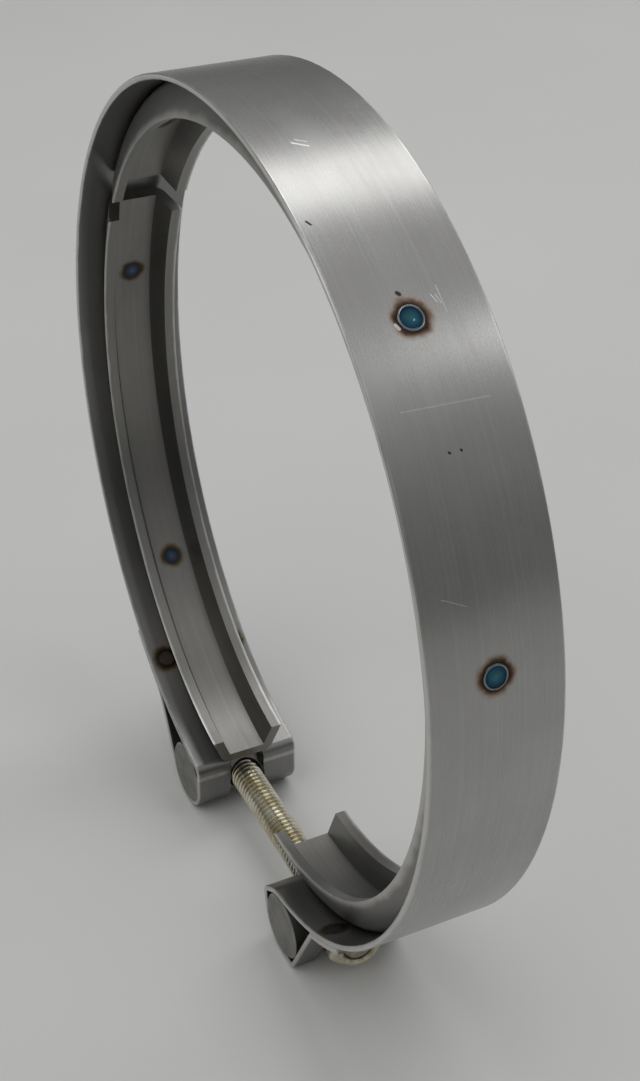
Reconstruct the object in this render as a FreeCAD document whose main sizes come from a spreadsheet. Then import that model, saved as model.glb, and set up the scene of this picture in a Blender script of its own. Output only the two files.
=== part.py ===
import FreeCAD, Part
import math
import os

import Sketcher

# V-band clamp for an exhaust joint.  One thin strap is wound round the joint and folded back on
# itself at both ends to make two loops.  Three rolled V retainers are spot welded inside it.  Each
# loop holds a trunnion, and a tee bolt with a lock nut draws the two loops together.
#
# Frame: millimetres, +Z up, +Y along the axis of the joint, origin at the centre of the ring.  The
# two loops and the bolt are at the bottom; the nut is on the +X side.  Angles in the ring's plane
# are measured from +X towards +Z.

SIZES = {
    # strap
    "band_outer_radius": 95.0,
    "band_thickness": 1.25,
    "band_width": 27.5,
    "band_rim_chamfer": 0.25,
    "departure_angle": 50.0,
    "tail_slit": 0.06,
    # trunnions, measured from the bottom centre of the ring
    "bolt_line_drop": 1.0,
    "nut_trunnion_offset": 28.0,
    "head_trunnion_offset": 33.3,
    "trunnion_diameter": 15.875,
    "trunnion_clearance": 0.1,
    "trunnion_overhang": 0.2,
    "trunnion_chamfer": 0.5,
    # loop on the nut side
    "nut_ear_angle": 158.0,
    "nut_ear_spread": 32.0,
    "nut_heel_angle": 305.0,
    "nut_heel_spread": 27.0,
    "ear_bend_radius": 1.6,
    "pinch_bend_radius": 1.6,
    "nut_tail_end_angle": 52.5,
    # loop on the head side
    "head_face_lean": 2.0,
    "head_fold_bend_radius": 1.8,
    "head_heel_spread": 14.0,
    "head_heel_bend_radius": 4.0,
    "head_tail_slope": 64.0,
    "head_tail_bend_radius": 9.0,
    "head_tail_end_angle": 47.5,
    # slots for the bolt and the nut
    "bolt_slot_width": 9.8,
    "head_slot_reach": 6.0,
    "nut_slot_width": 16.0,
    # spot welds of the folded tails
    "tail_weld_diameter": 5.0,
    "tail_weld_offset": 9.3,
    "nut_tail_weld_angle": 57.5,
    "head_tail_weld_angle": 52.0,
    # V retainers
    "retainer_wall": 2.5,
    "retainer_crown_width": 9.4,
    "retainer_leg_angle": 20.0,
    "retainer_depth": 8.15,
    "retainer_bend_radius": 3.3,
    "left_retainer_start_angle": 150.8,
    "left_retainer_end_angle": 80.6,
    "top_retainer_start_angle": 33.0,
    "top_retainer_end_angle": 146.0,
    "right_retainer_start_angle": 28.0,
    "right_retainer_end_angle": 92.0,
    # tee bolt
    "stud_diameter": 7.94,
    "stud_depth": 4.0,
    "stud_chamfer": 0.8,
    "stud_end_recess": 0.4,
    "stud_fit": 0.03,
    # seat of the nut
    "seat_distance": 5.8,
    "bolt_hole_diameter": 9.0,
    "nut_seat_gap": 0.1,
    # lock nut
    "nut_across_flats": 12.7,
    "nut_hex_height": 7.4,
    "nut_chamfer": 0.7,
    "nut_crown_diameter": 10.8,
    "nut_crown_height": 1.2,
    "nut_thread_clearance": 0.05,
}

doc = FreeCAD.newDocument("v_band_clamp")
sheet = doc.addObject("Spreadsheet::Sheet", "Sizes")
for row, (alias, number) in enumerate(SIZES.items(), start=1):
    sheet.set(f"A{row}", alias)
    sheet.set(f"B{row}", str(number))
    sheet.setAlias(f"B{row}", alias)
doc.recompute()


def size(alias):
    """One driving dimension, read from the sheet."""
    return float(sheet.get(alias))


# ---------------------------------------------------------------------------- plane geometry
# A path is a list of segments in the plane of the ring: ("line", start, end) or
# ("arc", centre, radius, first angle, last angle), each tangent to the one before it.


def polar(angle, radius, centre=(0.0, 0.0)):
    """The point at an angle in degrees and a distance from a centre."""
    turn = math.radians(angle)
    return (centre[0] + radius * math.cos(turn), centre[1] + radius * math.sin(turn))


def angle_to(start, end):
    """The direction in degrees from one point to another."""
    return math.degrees(math.atan2(end[1] - start[1], end[0] - start[0]))


def unwrapped(angle, near):
    """The same direction, written as the angle nearest to another one."""
    return angle + 360.0 * round((near - angle) / 360.0)


def arc_end(segment, which):
    """First or last point of a segment."""
    if segment[0] == "line":
        return segment[1 + which]
    return polar(segment[3 + which], segment[2], segment[1])


def reversed_path(path):
    """The same path, walked from its other end."""
    turned = []
    for segment in reversed(path):
        if segment[0] == "line":
            turned.append(("line", segment[2], segment[1]))
        else:
            turned.append(("arc", segment[1], segment[2], segment[4], segment[3]))
    return turned


def mirrored_path(path):
    """The same path on the other side of the Z axis."""
    flipped = []
    for segment in path:
        if segment[0] == "line":
            start, end = segment[1], segment[2]
            flipped.append(("line", (-start[0], start[1]), (-end[0], end[1])))
        else:
            centre = (-segment[1][0], segment[1][1])
            flipped.append(("arc", centre, segment[2], 180.0 - segment[3], 180.0 - segment[4]))
    return flipped


def offset_path(path, distance):
    """The path moved to its own left by a distance (to its right if negative)."""
    moved = []
    for segment in path:
        if segment[0] == "line":
            start, end = segment[1], segment[2]
            side = angle_to(start, end) + 90.0
            moved.append(("line", polar(side, distance, start), polar(side, distance, end)))
        else:
            counter_clockwise = segment[4] > segment[3]
            radius = segment[2] - distance if counter_clockwise else segment[2] + distance
            moved.append(("arc", segment[1], radius, segment[3], segment[4]))
    return moved


def circle_point(point, direction, centre, reach):
    """How far to go from a point in a direction to come within a reach of a centre."""
    run = (math.cos(math.radians(direction)), math.sin(math.radians(direction)))
    offset = (point[0] - centre[0], point[1] - centre[1])
    along = offset[0] * run[0] + offset[1] * run[1]
    gap = offset[0] ** 2 + offset[1] ** 2 - reach ** 2
    return -along - math.sqrt(along ** 2 - gap)


# ---------------------------------------------------------------------------- derived places
band_radius = size("band_outer_radius") - size("band_thickness") / 2.0
band_inner_radius = size("band_outer_radius") - size("band_thickness")
departure = size("departure_angle")
trunnion_radius = size("trunnion_diameter") / 2.0
wrap_radius = trunnion_radius + size("trunnion_clearance") + size("band_thickness") / 2.0
bolt_height = -(size("band_outer_radius") + size("bolt_line_drop"))
nut_centre = (size("nut_trunnion_offset"), bolt_height)
head_centre = (size("head_trunnion_offset"), bolt_height)


def end_arc(trunnion):
    """Where the strap leaves the ring: centre and outer radius of the arc that runs from the
    departure angle, tangent to the ring, to its contact with the top of a trunnion."""
    reach = size("band_outer_radius") + trunnion_radius + size("trunnion_clearance")
    toward = polar(-departure, 1.0)
    along = trunnion[0] * toward[0] + trunnion[1] * toward[1]
    shift = (trunnion[0] ** 2 + trunnion[1] ** 2 - reach ** 2) / (2.0 * (along - reach))
    return polar(-departure, shift), size("band_outer_radius") - shift


nut_arc_centre, nut_arc_radius = end_arc(nut_centre)
head_arc_centre, head_arc_radius = end_arc(head_centre)


def ear(trunnion, middle, spread, bend):
    """A corner of a loop that stands off its trunnion: two tangents and a bend."""
    reach = (wrap_radius - bend) / math.cos(math.radians(spread))
    corner = polar(middle, reach, trunnion)
    first, last = middle - spread, middle + spread
    return [
        ("line", polar(first, wrap_radius, trunnion), polar(first, bend, corner)),
        ("arc", corner, bend, first, last),
        ("line", polar(last, bend, corner), polar(last, wrap_radius, trunnion)),
    ]


def tail(trunnion, centre, outer_radius, start, slope, bend, end_angle):
    """The outer run of a loop: straight up to a bend, then back along the outside of the ring."""
    radius = outer_radius + size("tail_slit") + size("band_thickness") / 2.0
    side = slope - 90.0
    line_start = polar(side, wrap_radius + bend, trunnion)
    distance = circle_point(line_start, slope, centre, radius + bend)
    bend_centre = polar(slope, distance, line_start)
    bend_start = polar(side + 180.0, bend, bend_centre)
    inward = unwrapped(angle_to(bend_centre, centre), side + 180.0)
    path = [
        ("line", start, bend_start),
        ("arc", bend_centre, bend, side + 180.0, inward),
        ("arc", centre, radius, inward - 180.0, -departure),
    ]
    ring_radius = size("band_outer_radius") + size("tail_slit") + size("band_thickness") / 2.0
    if end_angle < departure:
        path.append(("arc", (0.0, 0.0), ring_radius, -departure, -end_angle))
    else:
        tip = polar(-end_angle, ring_radius)
        path[-1] = ("arc", centre, radius, inward - 180.0, angle_to(centre, tip))
    return path


def nut_side():
    """Strap from the departure angle, round the nut trunnion and back up to its tail."""
    arc_radius = nut_arc_radius - size("band_thickness") / 2.0
    contact = angle_to(nut_arc_centre, nut_centre)
    middle, spread = size("nut_ear_angle"), size("nut_ear_spread")
    heel, heel_spread = size("nut_heel_angle"), size("nut_heel_spread")
    bend = size("ear_bend_radius")
    path = [
        ("arc", nut_arc_centre, arc_radius, -departure, contact),
        ("arc", nut_centre, wrap_radius, contact + 180.0, middle - spread),
    ]
    path += ear(nut_centre, middle, spread, bend)
    path += [("arc", nut_centre, wrap_radius, middle + spread, heel - heel_spread)]
    path += ear(nut_centre, heel, heel_spread, bend)[:2]
    slope = heel + heel_spread - 270.0
    start = arc_end(path[-1], 1)
    pinch = size("pinch_bend_radius")
    end = size("nut_tail_end_angle")
    path += tail(nut_centre, nut_arc_centre, nut_arc_radius, start, slope, pinch, end)
    return path


def head_side():
    """Strap from the departure angle over the head trunnion to a tight fold, down the flat slotted
    face, round the trunnion and back up to its tail (drawn on the +X side)."""
    arc_radius = head_arc_radius - size("band_thickness") / 2.0
    face_side = 180.0 + size("head_face_lean")
    bend = size("head_fold_bend_radius")
    # the fold's centre is a bend radius inside the face and outside the end arc
    line_start = polar(face_side, wrap_radius - bend, head_centre)
    face_up = face_side - 90.0
    rise = circle_point(line_start, face_up, head_arc_centre, arc_radius + bend)
    fold_centre = polar(face_up, rise, line_start)
    fold_angle = angle_to(head_arc_centre, fold_centre)
    heel_spread = size("head_heel_spread")
    heel = face_side + heel_spread
    slope = size("head_tail_slope")
    face_foot = polar(face_side, wrap_radius, head_centre)
    path = [
        ("arc", head_arc_centre, arc_radius, -departure, fold_angle),
        ("arc", fold_centre, bend, fold_angle + 180.0, face_side),
        ("line", polar(face_side, bend, fold_centre), face_foot),
    ]
    path += ear(head_centre, heel, heel_spread, size("head_heel_bend_radius"))
    path += [("arc", head_centre, wrap_radius, heel + heel_spread, 270.0 + slope)]
    start = arc_end(path[-1], 1)
    bend = size("head_tail_bend_radius")
    end = size("head_tail_end_angle")
    path += tail(head_centre, head_arc_centre, head_arc_radius, start, slope, bend, end)
    return path


nut_path = nut_side()
head_path = head_side()
strap_path = reversed_path(nut_path)
strap_path += [("arc", (0.0, 0.0), band_radius, -departure, 180.0 + departure)]
strap_path += mirrored_path(head_path)


# ---------------------------------------------------------------------------- sketch helpers


def body(name):
    """A PartDesign body whose label is the node's name."""
    made = doc.addObject("PartDesign::Body", name)
    made.Label = name
    return made


def origin_plane(owner, role):
    """One of a body's own origin planes or axes."""
    return next(item for item in owner.Origin.OriginFeatures if item.Role == role)


def new_sketch(owner, role, name, offset=None):
    """A sketch laid flat on one of its body's origin planes."""
    made = owner.newObject("Sketcher::SketchObject", name)
    made.AttachmentSupport = [(origin_plane(owner, role), "")]
    made.MapMode = "FlatFace"
    if offset is not None:
        made.AttachmentOffset = offset
    return made


def vector(point):
    """A point of a sketch as a vector."""
    return FreeCAD.Vector(point[0], point[1], 0.0)


def add_segment(sketch, segment):
    """Draw one segment of a path, unless it has no length."""
    start, end = arc_end(segment, 0), arc_end(segment, 1)
    if math.dist(start, end) < 1e-6:
        return
    if segment[0] == "line":
        sketch.addGeometry(Part.LineSegment(vector(start), vector(end)), False)
        return
    circle = Part.Circle(vector(segment[1]), FreeCAD.Vector(0, 0, 1), segment[2])
    low, high = sorted((math.radians(segment[3]), math.radians(segment[4])))
    sketch.addGeometry(Part.ArcOfCircle(circle, low, high), False)


def draw_strip(sketch, path, thickness):
    """Draw the closed outline of a strip of sheet that follows a path."""
    left = offset_path(path, thickness / 2.0)
    right = offset_path(path, -thickness / 2.0)
    for segment in left + right:
        add_segment(sketch, segment)
    add_segment(sketch, ("line", arc_end(left[0], 0), arc_end(right[0], 0)))
    add_segment(sketch, ("line", arc_end(left[-1], 1), arc_end(right[-1], 1)))


def draw_polygon(sketch, points):
    """Draw a closed polygon."""
    for start, end in zip(points, points[1:] + points[:1]):
        sketch.addGeometry(Part.LineSegment(vector(start), vector(end)), False)


def draw_circle(sketch, expression, centre=(0.0, 0.0)):
    """Draw a circle about a point, its radius bound to the sheet."""
    circle = Part.Circle(vector(centre), FreeCAD.Vector(0, 0, 1), 1.0)
    index = sketch.addGeometry(circle, False)
    if centre == (0.0, 0.0):
        sketch.addConstraint(Sketcher.Constraint("Coincident", index, 3, -1, 1))
    number = sketch.addConstraint(Sketcher.Constraint("Radius", index, 1.0))
    sketch.setExpression(f"Constraints[{number}]", expression)
    return index


def pad(owner, name, sketch, expression, symmetric=False, reverse=False):
    """Pad a sketch by a length bound to the sheet."""
    made = owner.newObject("PartDesign::Pad", name)
    made.Profile = sketch
    made.SideType = "Symmetric" if symmetric else "One side"
    made.Reversed = reverse
    made.setExpression("Length", expression)
    doc.recompute()
    return made


def pocket(owner, name, sketch, expression, symmetric=False, reverse=False):
    """Pocket a sketch by a length bound to the sheet, and check that it takes material away."""
    before = owner.Tip.Shape.Volume
    made = owner.newObject("PartDesign::Pocket", name)
    made.Profile = sketch
    made.SideType = "Symmetric" if symmetric else "One side"
    made.Reversed = reverse
    made.setExpression("Length", expression)
    doc.recompute()
    if not made.Shape.Volume < before - 1e-3:
        raise ValueError(f"{name} cuts nothing")
    return made


def chamfer(owner, name, base, edges, expression):
    """Chamfer named edges of a feature by a size bound to the sheet."""
    made = owner.newObject("PartDesign::Chamfer", name)
    made.Base = (base, edges)
    made.setExpression("Size", expression)
    doc.recompute()
    return made


def edge_names(shape, wanted):
    """Names of the edges of a shape that a test picks."""
    return [f"Edge{n}" for n, edge in enumerate(shape.Edges, start=1) if wanted(edge)]


def turned_about_y(angle, point=(0.0, 0.0)):
    """A placement at a point of the ring's plane whose X axis points along an angle."""
    place = FreeCAD.Vector(point[0], 0.0, point[1])
    return FreeCAD.Placement(place, FreeCAD.Rotation(FreeCAD.Vector(0, 1, 0), -angle))


# ---------------------------------------------------------------------------- the strap
outer_band = body("outer_band")
profile = new_sketch(outer_band, "XZ_Plane", "strap_profile")
draw_strip(profile, strap_path, size("band_thickness"))
strap = pad(outer_band, "strap", profile, "Sizes.band_width", symmetric=True)

half_width = size("band_width") / 2.0


def on_rim(edge):
    """True for the edges of the strap's outline on its two rims."""
    box = edge.BoundBox
    flat = box.YLength < 1e-6 and abs(abs(box.YMin) - half_width) < 1e-6
    return flat and edge.Length > size("band_thickness") + 0.01


chamfer(outer_band, "rim_chamfer", strap, edge_names(strap.Shape, on_rim), "Sizes.band_rim_chamfer")


def slot_sketch(name, width):
    """U-shaped slot seen along the bolt: round at the bolt, open at the bottom of the loop."""
    made = new_sketch(outer_band, "YZ_Plane", name)
    half = width / 2.0
    floor = bolt_height - 2.0 * wrap_radius
    centre = (0.0, bolt_height)
    draw = [
        ("arc", centre, half, 0.0, 180.0),
        ("line", (-half, bolt_height), (-half, floor)),
        ("line", (-half, floor), (half, floor)),
        ("line", (half, floor), (half, bolt_height)),
    ]
    for segment in draw:
        add_segment(made, segment)
    return made


bolt_slot = slot_sketch("nut_loop_slot_profile", size("bolt_slot_width"))
pocket(outer_band, "nut_loop_slot", bolt_slot, "Sizes.nut_trunnion_offset", reverse=True)
nut_slot = slot_sketch("nut_opening_profile", size("nut_slot_width"))
nut_slot.AttachmentOffset = FreeCAD.Placement(
    FreeCAD.Vector(0, 0, size("nut_trunnion_offset")), FreeCAD.Rotation()
)
pocket(outer_band, "nut_opening", nut_slot, "Sizes.trunnion_diameter * 2", reverse=True)
head_slot = slot_sketch("head_loop_slot_profile", size("bolt_slot_width"))
head_reach = "Sizes.head_trunnion_offset + Sizes.trunnion_diameter * 2"
pocket(outer_band, "head_loop_slot", head_slot, head_reach)

# the head slot runs on over the fold and ends, round, in the strap above the trunnion
fold_slot = new_sketch(outer_band, "XY_Plane", "fold_slot_profile")
slot_half = size("bolt_slot_width") / 2.0
slot_end = -size("head_trunnion_offset") + size("head_slot_reach")
for segment in [
    ("arc", (slot_end + slot_half, 0.0), slot_half, 90.0, 270.0),
    ("line", (slot_end + slot_half, slot_half), (0.0, slot_half)),
    ("line", (0.0, slot_half), (0.0, -slot_half)),
    ("line", (0.0, -slot_half), (slot_end + slot_half, -slot_half)),
]:
    add_segment(fold_slot, segment)
fold_depth = "Sizes.band_outer_radius + Sizes.trunnion_diameter"
pocket(outer_band, "fold_slot", fold_slot, fold_depth)


def tail_welds(name, centre, outer_radius, ring_angle, mirror):
    """Two spot-weld nuggets that join a folded tail to the strap under it."""
    middle = polar(-ring_angle, size("band_outer_radius") + size("tail_slit") / 2.0)
    angle = angle_to(centre, middle) if ring_angle > departure else -ring_angle
    point = polar(angle, outer_radius + size("tail_slit") / 2.0, centre)
    if ring_angle <= departure:
        point = middle
    if mirror:
        point = (-point[0], point[1])
        angle = 180.0 - angle
    place = FreeCAD.Vector(point[0], 0.0, point[1])
    turn = FreeCAD.Rotation(FreeCAD.Vector(0, 1, 0), 90.0 - angle)
    made = new_sketch(outer_band, "XY_Plane", name + "_profile", FreeCAD.Placement(place, turn))
    for side in (-1.0, 1.0):
        centre_y = side * size("tail_weld_offset")
        draw_circle(made, "Sizes.tail_weld_diameter / 2", (0.0, centre_y))
    pad(outer_band, name, made, "Sizes.band_thickness", symmetric=True)


nut_weld = size("nut_tail_weld_angle")
head_weld = size("head_tail_weld_angle")
tail_welds("nut_tail_welds", nut_arc_centre, nut_arc_radius, nut_weld, False)
tail_welds("head_tail_welds", head_arc_centre, head_arc_radius, head_weld, True)


# ---------------------------------------------------------------------------- the V retainers


def retainer_profile(owner, arc_radius):
    """Section of a retainer, radius along X and axis along Y: a flat crown against the strap and
    two legs that flare towards their tips.  A construction line marks the end arc's axis."""
    made = new_sketch(owner, "XY_Plane", owner.Name + "_profile")
    wall = size("retainer_wall")
    lean = size("retainer_leg_angle")
    slope = math.tan(math.radians(lean))
    crown = band_inner_radius
    inside = crown - wall
    tip = crown - size("retainer_depth")
    half = size("retainer_crown_width") / 2.0
    # the outside of the bend is an arc, tangent to the crown and to the leg's outer face
    bend = size("retainer_bend_radius")
    outer_corner = half + wall / math.cos(math.radians(lean)) - wall * slope
    bend_y = outer_corner - bend * math.tan(math.radians(45.0 - lean / 2.0))
    for side in (1.0, -1.0):
        centre = (crown - bend, side * bend_y)
        leg_angle = side * (90.0 - lean)
        add_segment(made, ("arc", centre, bend, min(0.0, leg_angle), max(0.0, leg_angle)))
        inner_tip = (tip, side * (half + (inside - tip) * slope))
        outer_tip = (tip, side * (outer_corner + (crown - tip) * slope))
        add_segment(made, ("line", polar(leg_angle, bend, centre), outer_tip))
        add_segment(made, ("line", outer_tip, inner_tip))
        add_segment(made, ("line", inner_tip, (inside, side * half)))
    add_segment(made, ("line", (inside, -half), (inside, half)))
    add_segment(made, ("line", (crown, -bend_y), (crown, bend_y)))
    if arc_radius is not None:
        shift = size("band_outer_radius") - arc_radius
        axis = Part.LineSegment(vector((shift, -half)), vector((shift, half)))
        made.addGeometry(axis, True)
    return made


def revolve(owner, name, sketch, reference, expression, reverse):
    """Revolve a sketch by an angle bound to the sheet."""
    made = owner.newObject("PartDesign::Revolution", name)
    made.Profile = sketch
    made.ReferenceAxis = reference
    made.Reversed = reverse
    made.setExpression("Angle", expression)
    doc.recompute()
    return made


top_retainer = body("top_retainer")
section = retainer_profile(top_retainer, None)
top_sweep = "Sizes.top_retainer_end_angle - Sizes.top_retainer_start_angle"
revolve(top_retainer, "top_arc", section, (section, ["V_Axis"]), top_sweep, True)
top_retainer.Placement = turned_about_y(size("top_retainer_start_angle"))

right_retainer = body("right_retainer")
section = retainer_profile(right_retainer, nut_arc_radius)
right_sweep = "Sizes.right_retainer_start_angle + Sizes.departure_angle"
revolve(right_retainer, "right_arc", section, (section, ["V_Axis"]), right_sweep, True)
end_sweep = "Sizes.right_retainer_end_angle - Sizes.departure_angle"
revolve(right_retainer, "right_end_arc", section, (section, ["Axis0"]), end_sweep, False)
right_retainer.Placement = turned_about_y(-departure)

left_retainer = body("left_retainer")
section = retainer_profile(left_retainer, head_arc_radius)
left_sweep = "180 + Sizes.departure_angle - Sizes.left_retainer_start_angle"
revolve(left_retainer, "left_arc", section, (section, ["V_Axis"]), left_sweep, False)
end_sweep = "Sizes.left_retainer_end_angle - Sizes.departure_angle"
revolve(left_retainer, "left_end_arc", section, (section, ["Axis0"]), end_sweep, True)
left_retainer.Placement = turned_about_y(180.0 + departure)


# ---------------------------------------------------------------------------- the trunnions
trunnion_length = "Sizes.band_width + 2 * Sizes.trunnion_overhang"


def trunnion(name, centre):
    """A round bar across the strap that fills one loop, with its ends chamfered."""
    made = body(name)
    circle = new_sketch(made, "XZ_Plane", name + "_circle")
    draw_circle(circle, "Sizes.trunnion_diameter / 2")
    bar = pad(made, name + "_bar", circle, trunnion_length, symmetric=True)
    ends = edge_names(bar.Shape, lambda edge: edge.BoundBox.YLength < 1e-6)
    chamfer(made, name + "_ends", bar, ends, "Sizes.trunnion_chamfer")
    made.Placement = FreeCAD.Placement(FreeCAD.Vector(centre[0], 0.0, centre[1]), FreeCAD.Rotation())
    return made


head_trunnion = trunnion("head_trunnion", (-head_centre[0], head_centre[1]))
hole = new_sketch(head_trunnion, "YZ_Plane", "stud_hole_circle")
hole.AttachmentOffset = FreeCAD.Placement(
    FreeCAD.Vector(0, 0, -size("stud_depth")), FreeCAD.Rotation()
)
draw_circle(hole, "Sizes.stud_diameter / 2 + Sizes.stud_fit")
pocket(head_trunnion, "stud_hole", hole, "Sizes.trunnion_diameter + Sizes.stud_depth", reverse=True)

nut_trunnion = trunnion("nut_trunnion", nut_centre)
seat = new_sketch(nut_trunnion, "XZ_Plane", "seat_profile")
seat_reach = trunnion_radius + 1.0
seat_corners = [
    (size("seat_distance"), -seat_reach),
    (seat_reach, -seat_reach),
    (seat_reach, seat_reach),
    (size("seat_distance"), seat_reach),
]
draw_polygon(seat, seat_corners)
pocket(nut_trunnion, "nut_seat", seat, "Sizes.nut_slot_width", symmetric=True)
bolt_hole = new_sketch(nut_trunnion, "YZ_Plane", "bolt_hole_circle")
draw_circle(bolt_hole, "Sizes.bolt_hole_diameter / 2")
pocket(nut_trunnion, "bolt_hole", bolt_hole, "Sizes.trunnion_diameter * 2", symmetric=True)


# ---------------------------------------------------------------------------- the tee bolt
nut_start = size("nut_trunnion_offset") + size("seat_distance") + size("nut_seat_gap")
stud_length = (
    "Sizes.head_trunnion_offset + Sizes.stud_depth + Sizes.nut_trunnion_offset"
    " + Sizes.seat_distance + Sizes.nut_seat_gap + Sizes.nut_hex_height + Sizes.nut_crown_height"
    " - Sizes.stud_end_recess"
)
stud = body("stud")
stud_circle = new_sketch(stud, "YZ_Plane", "stud_circle")
draw_circle(stud_circle, "Sizes.stud_diameter / 2")
shank = pad(stud, "shank", stud_circle, stud_length)
shank_end = max(vertex.X for vertex in shank.Shape.Vertexes)
tips = edge_names(shank.Shape, lambda edge: edge.BoundBox.XMin > shank_end - 1e-6)
chamfer(stud, "stud_tip", shank, tips, "Sizes.stud_chamfer")
stud_start = -(size("head_trunnion_offset") + size("stud_depth"))
stud.Placement = FreeCAD.Placement(FreeCAD.Vector(stud_start, 0.0, bolt_height), FreeCAD.Rotation())


# ---------------------------------------------------------------------------- the lock nut
lock_nut = body("lock_nut")
corner_radius = size("nut_across_flats") / math.sqrt(3.0)
hexagon = new_sketch(lock_nut, "YZ_Plane", "hexagon")
draw_polygon(hexagon, [polar(60.0 * n, corner_radius) for n in range(6)])
hex_pad = pad(lock_nut, "hex", hexagon, "Sizes.nut_hex_height")

corner_cut = new_sketch(lock_nut, "XZ_Plane", "corner_cut_profile")
hex_height = size("nut_hex_height")
cut_depth = size("nut_chamfer")
cut_rise = corner_radius + 1.0
cut_reach = (cut_rise - corner_radius + cut_depth) * math.tan(math.radians(30.0))
draw_polygon(
    corner_cut,
    [
        (hex_height, corner_radius - cut_depth),
        (hex_height + 1.0, corner_radius - cut_depth),
        (hex_height + 1.0, cut_rise),
        (hex_height - cut_reach, cut_rise),
    ],
)
corners = lock_nut.newObject("PartDesign::Groove", "corner_chamfer")
corners.Profile = corner_cut
corners.ReferenceAxis = (corner_cut, ["H_Axis"])
corners.Angle = 360.0
doc.recompute()
if not corners.Shape.Volume < hex_pad.Shape.Volume - 1e-3:
    raise ValueError("corner_chamfer cuts nothing")

crown = new_sketch(lock_nut, "YZ_Plane", "crown_circle")
draw_circle(crown, "Sizes.nut_crown_diameter / 2")
pad(lock_nut, "crown", crown, "Sizes.nut_hex_height + Sizes.nut_crown_height")
bore = new_sketch(lock_nut, "YZ_Plane", "thread_bore_circle")
draw_circle(bore, "Sizes.stud_diameter / 2 + Sizes.nut_thread_clearance")
nut_height = "2 * (Sizes.nut_hex_height + Sizes.nut_crown_height) + 2"
pocket(lock_nut, "thread_bore", bore, nut_height, symmetric=True)
lock_nut.Placement = FreeCAD.Placement(
    FreeCAD.Vector(nut_start, 0.0, bolt_height), FreeCAD.Rotation()
)


# ---------------------------------------------------------------------------- check and write
doc.recompute()
for item in doc.Objects:
    if "Invalid" in item.State or "Error" in item.State:
        raise ValueError(f"{item.Name} failed: {item.State}")

nodes = [
    outer_band,
    left_retainer,
    top_retainer,
    right_retainer,
    head_trunnion,
    stud,
    nut_trunnion,
    lock_nut,
]
for node in nodes:
    shape = node.Shape
    if shape.isNull() or not shape.isValid() or len(shape.Solids) != 1:
        raise ValueError(f"{node.Label} is not one valid solid")

os.makedirs("parts", exist_ok=True)
for node in nodes:
    node.Shape.exportStep(f"parts/{node.Label}.step")
    box = node.Shape.BoundBox
    print(
        f"{node.Label}: volume {node.Shape.Volume:.1f},"
        f" x {box.XMin:.2f}..{box.XMax:.2f}, y {box.YMin:.2f}..{box.YMax:.2f},"
        f" z {box.ZMin:.2f}..{box.ZMax:.2f}"
    )
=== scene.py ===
"""A V-band clamp on a pale floor: the strap, its retainers, the trunnions, bolt and nut."""

from __future__ import annotations

import logging
import math
from collections.abc import Callable, Iterator
from contextlib import contextmanager
from dataclasses import dataclass
from enum import Enum

import bmesh
import bpy
from mathutils import Matrix, Vector


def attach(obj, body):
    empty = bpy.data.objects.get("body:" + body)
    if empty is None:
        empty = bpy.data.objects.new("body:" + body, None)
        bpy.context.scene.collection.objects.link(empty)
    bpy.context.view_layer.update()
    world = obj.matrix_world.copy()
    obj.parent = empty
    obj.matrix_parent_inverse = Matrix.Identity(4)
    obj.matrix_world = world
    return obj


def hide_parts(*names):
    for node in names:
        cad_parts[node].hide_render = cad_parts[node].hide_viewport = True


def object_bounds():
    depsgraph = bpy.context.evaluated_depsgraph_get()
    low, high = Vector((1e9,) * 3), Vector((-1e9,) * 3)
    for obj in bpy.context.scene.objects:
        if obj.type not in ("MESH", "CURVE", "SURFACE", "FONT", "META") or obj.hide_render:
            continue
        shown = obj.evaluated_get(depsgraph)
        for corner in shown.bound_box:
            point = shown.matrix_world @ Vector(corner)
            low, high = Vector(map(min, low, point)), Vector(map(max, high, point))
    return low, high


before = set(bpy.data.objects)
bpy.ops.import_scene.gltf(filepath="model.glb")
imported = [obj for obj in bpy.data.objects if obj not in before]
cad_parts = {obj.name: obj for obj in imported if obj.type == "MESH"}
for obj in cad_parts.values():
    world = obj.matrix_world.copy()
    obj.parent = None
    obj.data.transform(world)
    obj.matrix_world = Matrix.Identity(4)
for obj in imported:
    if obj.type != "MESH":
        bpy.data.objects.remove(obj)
CAD_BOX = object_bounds()

LOG = logging.getLogger("v_band_clamp")
MM = 0.001
TOUCH = 1e-6  # places closer than this, in metres, are the same
BOLT_HEIGHT = -96.0  # Z of the axes of the bolt and of both bars, in mm
Triple = tuple[float, float, float]
Colour = tuple[float, float, float]
Socket = bpy.types.NodeSocket


# ---------------------------------------------------------------------------- modelling by hand
def clear_selection() -> None:
    """Leaves edit mode and deselects every object."""
    if bpy.context.object and bpy.context.object.mode != "OBJECT":
        bpy.ops.object.mode_set(mode="OBJECT")
    bpy.ops.object.select_all(action="DESELECT")


def pick_alone(piece: bpy.types.Object) -> None:
    """Makes a piece the active object and the only one selected."""
    clear_selection()
    bpy.context.view_layer.objects.active = piece
    piece.select_set(True)


@contextmanager
def editing(piece: bpy.types.Object) -> Iterator[None]:
    """Opens a piece alone in edit mode, with nothing in it selected."""
    pick_alone(piece)
    bpy.ops.object.mode_set(mode="EDIT")
    bpy.ops.mesh.select_all(action="DESELECT")
    yield
    bpy.ops.object.mode_set(mode="OBJECT")


def select_faces(piece: bpy.types.Object, test: Callable[[Vector], bool]) -> None:
    """Selects, in edit mode, the faces whose middle, in metres, passes a test."""
    bpy.ops.mesh.select_mode(type="FACE")
    bpy.ops.mesh.select_all(action="DESELECT")
    shape = bmesh.from_edit_mesh(piece.data)
    for face in shape.faces:
        face.select_set(test(face.calc_center_median()))
    bmesh.update_edit_mesh(piece.data)


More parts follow.
